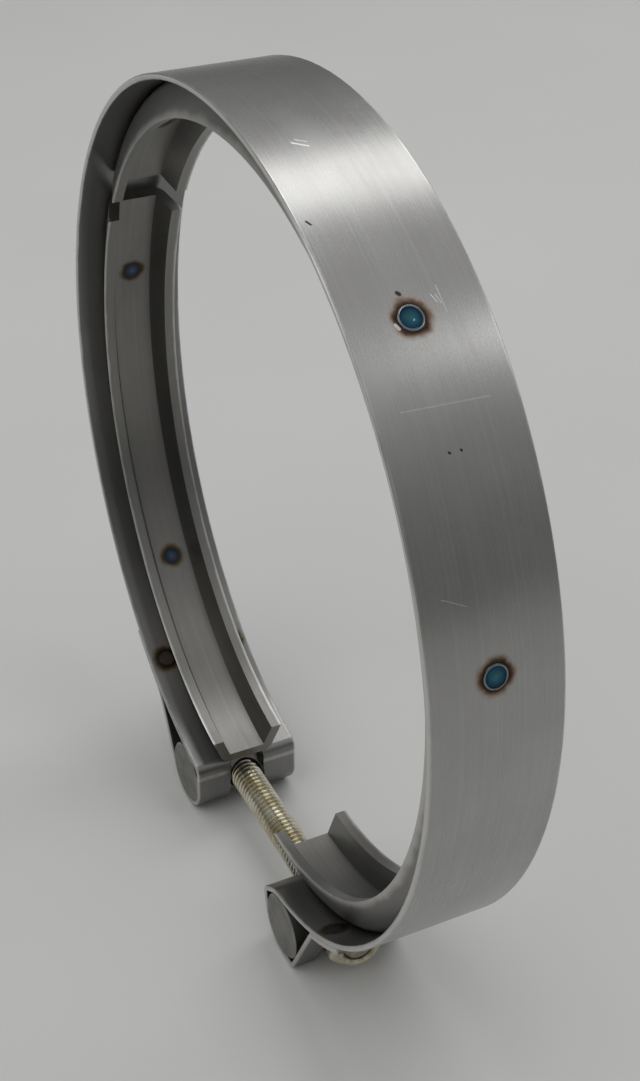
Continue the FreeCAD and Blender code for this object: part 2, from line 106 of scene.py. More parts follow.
def select_end(piece: bpy.types.Object, at: float) -> None:
    """Selects, in edit mode, the end of a rod that lies at an X in millimetres."""
    select_faces(piece, lambda middle: abs(middle.x - at * MM) < TOUCH)


def rod(name: str, sides: int, radius: float, start: float, end: float) -> bpy.types.Object:
    """Adds a closed rod along X, ready to be shaped.

    Args:
        name: The object's name.
        sides: Number of sides round the rod.
        radius: Its radius in millimetres, to the corners.
        start: X of its near end in millimetres.
        end: X of its far end in millimetres.

    Returns:
        The new object, with its place in its mesh.
    """
    clear_selection()
    bpy.ops.mesh.primitive_cylinder_add(
        vertices=sides,
        radius=radius * MM,
        depth=(end - start) * MM,
        location=((start + end) / 2 * MM, 0, 0),
        rotation=(0, math.pi / 2, 0),
    )
    piece = bpy.context.object
    piece.name = piece.data.name = name
    bpy.ops.object.transform_apply(location=True, rotation=True, scale=True)
    return piece


def apply_modifier(piece: bpy.types.Object, kind: str, **settings: object) -> None:
    """Adds a kind of modifier to a piece, sets its values by name and applies it."""
    pick_alone(piece)
    modifier = piece.modifiers.new(kind.lower(), kind)
    for name, value in settings.items():
        setattr(modifier, name, value)
    bpy.ops.object.modifier_apply(modifier=modifier.name)


def cut_with(piece: bpy.types.Object, tool: bpy.types.Object, operation: str) -> None:
    """Combines a piece with a tool solid by a Boolean operation and throws the tool away."""
    apply_modifier(piece, "BOOLEAN", operation=operation, object=tool, solver="EXACT")
    bpy.data.objects.remove(tool, do_unlink=True)


def move_in_place(piece: bpy.types.Object, matrix: Matrix) -> None:
    """Puts a piece in its place, in metres, and leaves its object at the origin."""
    pick_alone(piece)
    piece.matrix_world = matrix
    bpy.context.view_layer.update()
    bpy.ops.object.transform_apply(location=True, rotation=True, scale=True)


def smooth(piece: bpy.types.Object, degrees: float) -> None:
    """Shades a piece smooth, with edges sharper than an angle left crisp."""
    pick_alone(piece)
    bpy.ops.object.shade_smooth_by_angle(angle=math.radians(degrees))


def cover(piece: bpy.types.Object, material: bpy.types.Material) -> None:
    """Gives a piece one material in place of any that it has."""
    piece.data.materials.clear()
    piece.data.materials.append(material)


def ring_point(radius: float, degrees: float, across: float = 0.0) -> Vector:
    """The point, in metres, at a radius, an angle from +X to +Z and a place across the strap."""
    turn = math.radians(degrees)
    return Vector((radius * math.cos(turn), across, radius * math.sin(turn))) * MM


# ---------------------------------------------------------------------------- wiring of materials
@dataclass(frozen=True)
class Noise:
    """A noise texture's scale per metre, octaves of detail and roughness."""

    scale: float
    detail: float
    roughness: float = 0.5


class Wiring:
    """Adds and joins the nodes of one material or node group."""

    def __init__(self, tree: bpy.types.NodeTree) -> None:
        """Keeps the tree that the nodes go in."""
        self.tree = tree

    def add(self, kind: str, **settings: object) -> bpy.types.Node:
        """Adds one node, by its type without the leading ShaderNode, and sets its values."""
        node = self.tree.nodes.new("ShaderNode" + kind)
        for name, value in settings.items():
            setattr(node, name, value)
        return node

    def put(self, socket: Socket, value: object) -> None:
        """Joins an output to a socket, or sets a plain value on it."""
        if isinstance(value, bpy.types.NodeSocket):
            self.tree.links.new(value, socket)
        else:
            socket.default_value = value

    def number(self, operation: str, *values: object, clamp: bool = False) -> Socket:
        """Works out one number with a Math node, kept between 0 and 1 if it is clamped."""
        node = self.add("Math", operation=operation, use_clamp=clamp)
        for socket, value in zip(node.inputs, values):
            self.put(socket, value)
        return node.outputs[0]

    def times(self, first: object, second: object, clamp: bool = False) -> Socket:
        """The product of two numbers."""
        return self.number("MULTIPLY", first, second, clamp=clamp)

    def added(self, base: object, value: object, share: object) -> Socket:
        """A base with a share of a value added to it."""
        return self.number("MULTIPLY_ADD", value, share, base)

    def vector(self, operation: str, *values: object) -> bpy.types.Node:
        """Adds a Vector Math node with its inputs in order and returns it."""
        node = self.add("VectorMath", operation=operation)
        for socket, value in zip(node.inputs, values):
            self.put(socket, value)
        return node

    def scaled(self, value: object, factor: object) -> Socket:
        """A vector or a colour multiplied by a number."""
        node = self.vector("SCALE", value)
        self.put(node.inputs["Scale"], factor)
        return node.outputs[0]

    def stretched(self, place: Socket, along: object, across: object) -> Socket:
        """A place stretched by one scale in the ring's plane and another across the strap."""
        scales = self.add("CombineXYZ")
        for socket, scale in zip(scales.inputs, (along, across, along)):
            self.put(socket, scale)
        return self.vector("MULTIPLY", place, scales.outputs[0]).outputs[0]

    def moved(self, place: Socket, x: float, z: float) -> Socket:
        """A place moved along X and Z by distances in millimetres."""
        shift = self.add("Mapping")
        self.put(shift.inputs["Vector"], place)
        shift.inputs["Location"].default_value = (x * MM, 0, z * MM)
        return shift.outputs[0]

    def from_axis(self, place: Socket, plane: Triple) -> Socket:
        """A place's distance from an axis: plane is 0 along the axis and 1 across it."""
        flat = self.vector("MULTIPLY", place, plane).outputs[0]
        return self.vector("LENGTH", flat).outputs["Value"]

    def axes(self, place: Socket) -> bpy.types.NodeOutputs:
        """The three coordinates of a place."""
        split = self.add("SeparateXYZ")
        self.put(split.inputs[0], place)
        return split.outputs

    def noise(self, place: Socket, kind: Noise) -> Socket:
        """Soft noise between 0 and 1."""
        node = self.add("TexNoise")
        self.put(node.inputs["Vector"], place)
        node.inputs["Scale"].default_value = kind.scale
        node.inputs["Detail"].default_value = kind.detail
        node.inputs["Roughness"].default_value = kind.roughness
        return node.outputs[0]

    def fade(
        self,
        value: Socket,
        low: object,
        high: object,
        to_low: float = 0.0,
        to_high: float = 1.0,
    ) -> Socket:
        """A smooth step of a value, from to_low at one level to to_high at another."""
        node = self.add("MapRange", interpolation_type="SMOOTHSTEP")
        for socket, item in zip(node.inputs, (value, low, high, to_low, to_high)):
            self.put(socket, item)
        return node.outputs[0]

    def blend(self, share: object, below: object, above: object) -> Socket:
        """Mixes two colours by a share and returns the colour."""
        node = self.add("Mix", data_type="RGBA")
        for index, value in ((0, share), (6, below), (7, above)):  # 6 and 7 are its colours
            if isinstance(value, tuple):
                value = (*value, 1.0)
            self.put(node.inputs[index], value)
        return node.outputs[2]

    def group(self, shared: bpy.types.NodeTree, **values: object) -> bpy.types.NodeOutputs:
        """Places a shared group and sets its inputs by name, with _ for a space."""
        node = self.add("Group", node_tree=shared)
        for name, value in values.items():
            self.put(node.inputs[name.replace("_", " ")], value)
        return node.outputs


class WeldStyle(Enum):
    """How a spot weld is coloured: its stops of distance over radius and colour."""

    OUTSIDE = (
        (0.00, (0.055, 0.15, 0.17)),
        (0.45, (0.030, 0.10, 0.14)),
        (0.82, (0.010, 0.035, 0.075)),
        (0.89, (0.26, 0.27, 0.26)),
        (0.96, (0.22, 0.22, 0.20)),
        (1.02, (0.022, 0.020, 0.018)),
        (1.15, (0.070, 0.045, 0.036)),
        (1.38, (0.20, 0.125, 0.085)),
        (1.65, (0.33, 0.25, 0.18)),
        (2.20, (0.42, 0.38, 0.31)),
    )
    CROWN = (
        (0.00, (0.080, 0.10, 0.13)),
        (0.50, (0.040, 0.055, 0.085)),
        (0.90, (0.025, 0.032, 0.050)),
        (1.05, (0.060, 0.048, 0.035)),
        (1.30, (0.15, 0.11, 0.065)),
        (2.20, (0.24, 0.22, 0.18)),
    )
    TAIL = (
        (0.00, (0.17, 0.155, 0.13)),
        (0.70, (0.14, 0.12, 0.10)),
        (0.92, (0.035, 0.028, 0.024)),
        (1.05, (0.06, 0.046, 0.034)),
        (1.25, (0.15, 0.105, 0.060)),
        (1.60, (0.26, 0.205, 0.125)),
        (2.20, (0.34, 0.31, 0.25)),
    )


class SharedEffects:
    """The effects that several finishes use, each built once as a node group.

    The pairs are the two levels of a fade, and SMEAR_SCALES the scales along and across.
    """

    FINE_LINES = Noise(1.0, 3.0, 0.6)
    STREAKS = Noise(1.0, 2.0)
    CLOUDS = Noise(55.0, 3.0, 0.55)
    STREAK_ALONG = 0.7  # the streaks' scale over the fine lines' scale
    STREAK_ACROSS = 0.16

    # Distances from a weld's middle are over the weld's radius.
    TINT_REACH = 2.2
    RAGGED_EDGE = Noise(420.0, 3.0)
    RAGGED_BY = 0.7
    RAGGED_BEYOND = (0.9, 1.3)
    TINT_ENDS = (1.2, 1.85)
    TINT_CLOUDS = Noise(900.0, 2.0)
    TINT_CLOUD_SHARE = 0.5
    BURN_STARTS = (1.0, 1.12)
    BURN_ROUGHNESS = 0.22
    PAN_EDGE = (0.9, 1.0)
    PAN_SMOOTHNESS = 0.17
    DIP_EDGE = (0.55, 0.95)

    SCRATCH_EDGE = (0.4, 1.0)  # over the scratch's width

    RIM_PATCHES = Noise(190.0, 3.0)
    RIM_PATCH_REACH = 0.0007  # this and the next two in metres
    RIM_INSIDE = 0.0003
    RIM_OUTSIDE = 0.0004

    BLOTCHES = Noise(28.0, 4.0, 0.62)
    BLOTCH_LEVELS = (0.50, 0.72)
    BLOTCH_SHARE = 0.6
    SMEARS = Noise(1.0, 3.0)
    SMEAR_SCALES = (60.0, 210.0)
    SMEAR_LEVELS = (0.52, 0.75)
    SMEAR_SHARE = 0.4

    def __init__(self) -> None:
        """Builds every group."""
        self.grain = self._rolled_grain()
        self.tints = {style: self._weld_tint(style) for style in WeldStyle}
        self.scratch = self._scratch()
        self.wear = self._rim_wear()
        self.stain = self._stain()

    def _new(
        self, name: str, takes: dict[str, str], gives: dict[str, str]
    ) -> tuple[Wiring, bpy.types.NodeOutputs, bpy.types.NodeInputs]:
        """Starts a group that takes and gives sockets of some names and kinds.

        Returns:
            Its wiring, the sockets to read what it takes, and the sockets to fill what it gives.
        """
        tree = bpy.data.node_groups.new(name, "ShaderNodeTree")
        for way, sockets in (("INPUT", takes), ("OUTPUT", gives)):
            for label, kind in sockets.items():
                tree.interface.new_socket(label, in_out=way, socket_type="NodeSocket" + kind)
        source = tree.nodes.new("NodeGroupInput")
        target = tree.nodes.new("NodeGroupOutput")
        return Wiring(tree), source.outputs, target.inputs

    def _rolled_grain(self) -> bpy.types.NodeTree:
        """Fine lines along the strip, broader streaks, and soft clouds in the polish."""
        wiring, given, asked = self._new(
            "rolled_grain",
            {"Place": "Vector", "Along": "Float", "Across": "Float"},
            {"Lines": "Float", "Streaks": "Float", "Clouds": "Float"},
        )
        place, along, across = given["Place"], given["Along"], given["Across"]
        fine = wiring.stretched(place, along, across)
        broad = wiring.stretched(
            place,
            wiring.times(along, self.STREAK_ALONG),
            wiring.times(across, self.STREAK_ACROSS),
        )
        wiring.put(asked["Lines"], wiring.noise(fine, self.FINE_LINES))
        wiring.put(asked["Streaks"], wiring.noise(broad, self.STREAKS))
        wiring.put(asked["Clouds"], wiring.noise(place, self.CLOUDS))
        return wiring.tree

    def _weld_tint(self, style: WeldStyle) -> bpy.types.NodeTree:
        """The colours that a spot weld leaves on the steel round it."""
        wiring, given, asked = self._new(
            f"weld_tint_{style.name.lower()}",
            {
                "Place": "Vector",
                "Centre": "Vector",
                "Radius": "Float",
                "Colour": "Color",
                "Roughness": "Float",
            },
            {"Colour": "Color", "Roughness": "Float", "Dip": "Float"},
        )
        place = given["Place"]
        reach = wiring.vector("DISTANCE", place, given["Centre"]).outputs["Value"]
        ratio = wiring.number("DIVIDE", reach, given["Radius"])
        ragged = wiring.noise(place, self.RAGGED_EDGE)
        ragged = wiring.added(-self.RAGGED_BY / 2, ragged, self.RAGGED_BY)
        ratio = wiring.added(ratio, ragged, wiring.fade(ratio, *self.RAGGED_BEYOND))
        ramp = wiring.add("ValToRGB")
        wiring.put(ramp.inputs[0], wiring.number("DIVIDE", ratio, self.TINT_REACH))
        stops = ramp.color_ramp.elements
        while len(stops) < len(style.value):
            stops.new(0.5)
        for stop, (distance, colour) in zip(stops, style.value):
            stop.position = distance / self.TINT_REACH
            stop.color = (*colour, 1.0)
        share = wiring.fade(ratio, *self.TINT_ENDS, 1.0, 0.0)
        clouds = wiring.noise(place, self.TINT_CLOUDS)
        cloudy = wiring.added(1.0 - self.TINT_CLOUD_SHARE / 2, clouds, self.TINT_CLOUD_SHARE)
        tint = wiring.scaled(ramp.outputs[0], cloudy)
        wiring.put(asked["Colour"], wiring.blend(share, given["Colour"], tint))
        burnt = wiring.times(wiring.fade(ratio, *self.BURN_STARTS), share)
        smoother = wiring.fade(ratio, *self.PAN_EDGE, -self.PAN_SMOOTHNESS, 0.0)
        rough = wiring.added(given["Roughness"], burnt, self.BURN_ROUGHNESS)
        wiring.put(asked["Roughness"], wiring.number("ADD", rough, smoother))
        wiring.put(asked["Dip"], wiring.fade(ratio, *self.DIP_EDGE, 1.0, 0.0))
        return wiring.tree

    def _scratch(self) -> bpy.types.NodeTree:
        """One straight scratch or nick between two points."""
        wiring, given, asked = self._new(
            "scratch",
            {"Place": "Vector", "Start": "Vector", "End": "Vector", "Width": "Float"},
            {"Mask": "Float"},
        )
        away = wiring.vector("SUBTRACT", given["Place"], given["Start"]).outputs[0]
        run = wiring.vector("SUBTRACT", given["End"], given["Start"]).outputs[0]
        top = wiring.vector("DOT_PRODUCT", away, run).outputs["Value"]
        bottom = wiring.vector("DOT_PRODUCT", run, run).outputs["Value"]
        share = wiring.number("DIVIDE", top, bottom, clamp=True)
        gap = wiring.vector("DISTANCE", away, wiring.scaled(run, share)).outputs["Value"]
        ratio = wiring.number("DIVIDE", gap, given["Width"])
        wiring.put(asked["Mask"], wiring.fade(ratio, *self.SCRATCH_EDGE, 1.0, 0.0))
        return wiring.tree

    def _rim_wear(self) -> bpy.types.NodeTree:
        """Brighter, rubbed metal at the two rims of a strip."""
        wiring, given, asked = self._new(
            "rim_wear", {"Place": "Vector", "Half width": "Float"}, {"Mask": "Float"}
        )
        side = wiring.number("ABSOLUTE", wiring.axes(given["Place"])["Y"])
        patches = wiring.noise(given["Place"], self.RIM_PATCHES)
        side = wiring.added(side, patches, self.RIM_PATCH_REACH)
        inside = wiring.number("SUBTRACT", given["Half width"], self.RIM_INSIDE)
        outside = wiring.number("ADD", given["Half width"], self.RIM_OUTSIDE)
        wiring.put(asked["Mask"], wiring.fade(side, inside, outside))
        return wiring.tree

    def _stain(self) -> bpy.types.NodeTree:
        """Faint smears and dull blotches from handling."""
        wiring, given, asked = self._new(
            "handling_stain", {"Place": "Vector", "Amount": "Float"}, {"Mask": "Float"}
        )
        place = given["Place"]
        blotch = wiring.fade(wiring.noise(place, self.BLOTCHES), *self.BLOTCH_LEVELS)
        smear = wiring.noise(wiring.stretched(place, *self.SMEAR_SCALES), self.SMEARS)
        smear = wiring.times(wiring.fade(smear, *self.SMEAR_LEVELS), self.SMEAR_SHARE)
        both = wiring.added(smear, blotch, self.BLOTCH_SHARE)
        wiring.put(asked["Mask"], wiring.times(both, given["Amount"], clamp=True))
        return wiring.tree


# ---------------------------------------------------------------------------- finishes
class Metal:
    """A metal material in the making, with its colour, roughness and height so far."""

    def __init__(self, name: str) -> None:
        """Starts the material."""
        self.material = bpy.data.materials.new(name)
        self.material.use_nodes = True
        self.wiring = Wiring(self.material.node_tree)
        self.place = self.wiring.add("TexCoord").outputs["Object"]
        self.colour: Socket | None = None
        self.rough: Socket | None = None
        self.height: Socket | None = None

    def roughen(self, where: Socket, by: float) -> None:
        """Makes the metal rougher by an amount where a mask is 1."""
        self.rough = self.wiring.added(self.rough, where, by)

    def paint(self, where: Socket, colour: object) -> None:
        """Covers the metal's colour with another where a mask is 1."""
        self.colour = self.wiring.blend(where, self.colour, colour)

    def complete(self, strength: float, depth: float) -> bpy.types.Material:
        """Joins what was made to the shader, with a bump of a depth in millimetres."""
        shader = self.material.node_tree.nodes["Principled BSDF"]
        bump = self.wiring.add("Bump")
        for node, label, value in (
            (bump, "Strength", strength),
            (bump, "Distance", depth * MM),
            (bump, "Height", self.height),
            (shader, "Metallic", 1.0),
            (shader, "Base Color", self.colour),
            (shader, "Roughness", self.rough),
            (shader, "Normal", bump.outputs[0]),
        ):
            self.wiring.put(node.inputs[label], value)
        return self.material


@dataclass(frozen=True)
class Weld:
    """A spot weld: its ring angle in degrees, and its radius, place across and size in mm."""

    style: WeldStyle
    angle: float
    radius: float
    across: float
    size: float


@dataclass(frozen=True)
class Mark:
    """A scratch or nick in the strap's face, by ring angle in degrees and place across in mm."""

    start: tuple[float, float]
    end: tuple[float, float]
    width: float
    bright: bool
    share: float = 1.0


@dataclass(frozen=True)
class SheetFinish:
    """Satin rolled stainless sheet, with its welds, scratches and rubbed rims."""

    name: str
    light: Colour
    dark: Colour
    roughness: float
    half_width: float
    stain: float
    welds: tuple[Weld, ...] = ()
    marks: tuple[Mark, ...] = ()
    face_radius: float = 95.0
    # share of the colour kept off the ring's outer face; below 1 it paints shade there
    inner_painted_shade: float = 1.0
    grain_scales: tuple[float, float] = (14.0, 6500.0)
    line_share: float = 0.40
    streak_share: float = 0.25
    cloud_share: float = 0.45
    tone_levels: tuple[float, float] = (0.38, 0.78)
    stain_shade: float = 0.72
    weld_dip: float = 3.0
    bright_mark: Colour = (0.85, 0.85, 0.83)
    dark_mark: Colour = (0.05, 0.045, 0.04)
    face_margins: tuple[float, float] = (0.9, 0.3)
    rubbed_colour: Colour = (0.80, 0.79, 0.76)
    rubbed_share: float = 0.55
    bump_strength: float = 0.16
    bump_depth: float = 0.03

    def make(self, shared: SharedEffects) -> bpy.types.Material:
        """Builds the material from the shared node groups."""
        metal = Metal(self.name)
        self._roll(metal, shared)
        for weld in self.welds:
            self._add_weld(metal, shared, weld)
        for mark in self.marks:
            self._add_mark(metal, shared, mark)
        if self.inner_painted_shade < 1.0:
            self._paint_inner_shade(metal)
        half = self.half_width * MM
        wear = metal.wiring.group(shared.wear, Place=metal.place, Half_width=half)["Mask"]
        metal.paint(metal.wiring.times(wear, self.rubbed_share), self.rubbed_colour)
        return metal.complete(self.bump_strength, self.bump_depth)

    def _roll(self, metal: Metal, shared: SharedEffects) -> None:
        """Gives the bare sheet its lines, streaks, clouds and stains."""
        wiring, place = metal.wiring, metal.place
        along, across = self.grain_scales
        grain = wiring.group(shared.grain, Place=place, Along=along, Across=across)
        tone = wiring.times(grain["Streaks"], self.streak_share)
        tone = wiring.added(tone, grain["Lines"], self.line_share)
        tone = wiring.added(tone, grain["Clouds"], self.cloud_share)
        metal.colour = wiring.blend(wiring.fade(tone, *self.tone_levels), self.dark, self.light)
        stain = wiring.group(shared.stain, Place=place, Amount=self.stain)["Mask"]
        metal.paint(wiring.times(stain, 0.5), tuple(c * self.stain_shade for c in self.dark))
        metal.rough = wiring.added(self.roughness - 0.07, grain["Lines"], 0.10)
        metal.roughen(grain["Clouds"], 0.08)
        metal.roughen(stain, 0.10)
        metal.height = wiring.times(grain["Lines"], 0.5)

    def _add_weld(self, metal: Metal, shared: SharedEffects, weld: Weld) -> None:
        """Tints the sheet round one weld and sinks its middle."""
        tint = metal.wiring.group(
            shared.tints[weld.style],
            Place=metal.place,
            Centre=ring_point(weld.radius, weld.angle, weld.across),
            Radius=weld.size * MM,
            Colour=metal.colour,
            Roughness=metal.rough,
        )
        metal.colour, metal.rough = tint["Colour"], tint["Roughness"]
        metal.height = metal.wiring.added(metal.height, tint["Dip"], -self.weld_dip)

    def _add_mark(self, metal: Metal, shared: SharedEffects, mark: Mark) -> None:
        """Draws one scratch or nick."""
        mask = metal.wiring.group(
            shared.scratch,
            Place=metal.place,
            Start=ring_point(self.face_radius, *mark.start),
            End=ring_point(self.face_radius, *mark.end),
            Width=mark.width * MM,
        )["Mask"]
        colour = self.bright_mark if mark.bright else self.dark_mark
        metal.paint(metal.wiring.times(mask, mark.share), colour)
        metal.roughen(mask, 0.3)

    def _paint_inner_shade(self, metal: Metal) -> None:
        """Paints shade on the sheet wherever it isn't the ring's outer face: a darker copy of its
        colour there is painted shade for the inside of the ring, and the sheet there is also made
        a little rougher.
        """
        wiring = metal.wiring
        reach = wiring.from_axis(metal.place, (1.0, 0.0, 1.0))
        far, near = self.face_margins
        low = wiring.fade(reach, (self.face_radius - far) * MM, (self.face_radius - near) * MM)
        high = wiring.fade(reach, (self.face_radius + near) * MM, (self.face_radius + far) * MM)
        # mask off the outer face: painted shade in the colour, and a duller, rougher finish
        painted_shade_and_dull = wiring.number("SUBTRACT", 1.0, wiring.number("SUBTRACT", low, high))
        metal.paint(painted_shade_and_dull, wiring.scaled(metal.colour, self.inner_painted_shade))
        metal.roughen(painted_shade_and_dull, 0.06)


@dataclass(frozen=True)
class BarFinish:
    """Turned stainless bar: lines round it, fine rings on its matt ends, and painted shade round
    the bolt hole.
    """

    name: str
    centre: tuple[float, float]
    colour: Colour
    end_colour: Colour
    roughness: float
    half_length: float
    hole_shade_radius: float
    grain_scales: tuple[float, float] = (60.0, 6000.0)
    rings_per_metre: float = 24000.0
    ring_share: float = 0.10
    end_margins: tuple[float, float] = (0.05, 0.01)
    patches: Noise = Noise(260.0, 4.0, 0.65)
    patch_levels: tuple[float, float] = (0.42, 0.7)
    shaft_shade: float = 0.8
    patch_shade: float = 0.74
    ring_shade: float = 1.25
    # painted shade at the bolt hole: its near-black colour, and the width of its soft edge in mm
    hole_shade_colour: Colour = (0.02, 0.019, 0.017)
    hole_shade_margin: float = 0.35
    bump_strength: float = 0.4
    bump_depth: float = 0.03

    def make(self, shared: SharedEffects) -> bpy.types.Material:
        """Builds the material from the shared node groups."""
        metal = Metal(self.name)
        wiring, place = metal.wiring, metal.place
        along, across = self.grain_scales
        grain = wiring.group(shared.grain, Place=place, Along=along, Across=across)
        centred = wiring.moved(place, -self.centre[0], -self.centre[1])
        reach = wiring.from_axis(centred, (1.0, 0.0, 1.0))
        wave = wiring.number("SINE", wiring.times(reach, self.rings_per_metre))
        rings = wiring.added(0.5, wave, 0.5)
        side = wiring.number("ABSOLUTE", wiring.axes(place)["Y"])
        end = wiring.fade(side, *((self.half_length - gap) * MM for gap in self.end_margins))
        patch = wiring.fade(wiring.noise(place, self.patches), *self.patch_levels)
        darker = tuple(c * self.shaft_shade for c in self.colour)
        shaft = wiring.blend(grain["Lines"], darker, self.colour)
        face = wiring.blend(patch, self.end_colour, self._shaded(self.patch_shade))
        face = wiring.blend(
            wiring.times(rings, self.ring_share), face, self._shaded(self.ring_shade)
        )
        # Painted shade round the bolt hole: near-black, rougher colour within a radius of the
        # bolt's axis, where the gap round the bolt lies in shadow.
        from_bolt = wiring.from_axis(centred, (0.0, 1.0, 1.0))
        inner = (self.hole_shade_radius - self.hole_shade_margin) * MM
        mouth = wiring.fade(from_bolt, inner, self.hole_shade_radius * MM, 1.0, 0.0)
        metal.colour = wiring.blend(end, shaft, face)
        metal.paint(mouth, self.hole_shade_colour)
        metal.rough = wiring.added(self.roughness, end, 0.16)
        metal.roughen(mouth, 0.30)
        metal.roughen(grain["Clouds"], 0.10)
        metal.height = wiring.added(grain["Lines"], wiring.times(rings, end), 0.5)
        metal.height = wiring.added(metal.height, patch, 0.6)
        return metal.complete(self.bump_strength, self.bump_depth)

    def _shaded(self, share: float) -> Colour:
        """The ends' colour, lighter or darker by a share."""
        return tuple(min(1.0, c * share) for c in self.end_colour)


@dataclass(frozen=True)
class PlatingFinish:
    """Silver plate, yellowed by tarnish, with dirt wherever it lies close to the bolt's axis."""

    name: str
    bright: Colour
    tarnish: Colour
    dirt: Colour
    roughness: float
    dirty_radius: float
    clean_radius: float
    patches: Noise = Noise(150.0, 4.0, 0.6)
    patch_levels: tuple[float, float] = (0.36, 0.66)
    specks: Noise = Noise(900.0, 3.0, 0.6)
    speck_levels: tuple[float, float] = (0.50, 0.72)
    speck_share: float = 0.22
    pitting: Noise = Noise(1400.0, 3.0, 0.6)
    bump_strength: float = 0.12
    bump_depth: float = 0.05

    def make(self) -> bpy.types.Material:
        """Builds the material."""
        metal = Metal(self.name)
        wiring, place = metal.wiring, metal.place
        reach = wiring.from_axis(wiring.moved(place, 0.0, -BOLT_HEIGHT), (0.0, 1.0, 1.0))
        high = wiring.fade(reach, self.dirty_radius * MM, self.clean_radius * MM)
        patch = wiring.fade(wiring.noise(place, self.patches), *self.patch_levels)
        speck = wiring.fade(wiring.noise(place, self.specks), *self.speck_levels)
        low = wiring.number("SUBTRACT", 1.0, high)
        low = wiring.times(low, wiring.added(0.5, patch, 0.4), clamp=True)
        metal.colour = wiring.blend(patch, self.bright, self.tarnish)
        metal.paint(low, self.dirt)
        metal.paint(wiring.times(speck, self.speck_share), self.dirt)
        metal.rough = wiring.added(self.roughness, low, 0.18)
        metal.roughen(patch, 0.08)
        metal.height = wiring.noise(place, self.pitting)
        return metal.complete(self.bump_strength, self.bump_depth)


# ---------------------------------------------------------------------------- sub-assemblies
def dress_cad(node: str, material: bpy.types.Material, crisp_angle: float = 28.0) -> None:
    """Gives a CAD solid its finish, and even shading where it turns by less than an angle."""
    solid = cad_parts[node]
    cover(solid, material)
    solid.data.polygons.foreach_set("use_smooth", [True] * len(solid.data.polygons))
    weld = solid.modifiers.new("join_facets", "WELD")
    weld.merge_threshold = TOUCH
    split = solid.modifiers.new("crisp_edges", "EDGE_SPLIT")
    split.split_angle = math.radians(crisp_angle)
    LOG.info("%s dressed in %s", node, material.name)


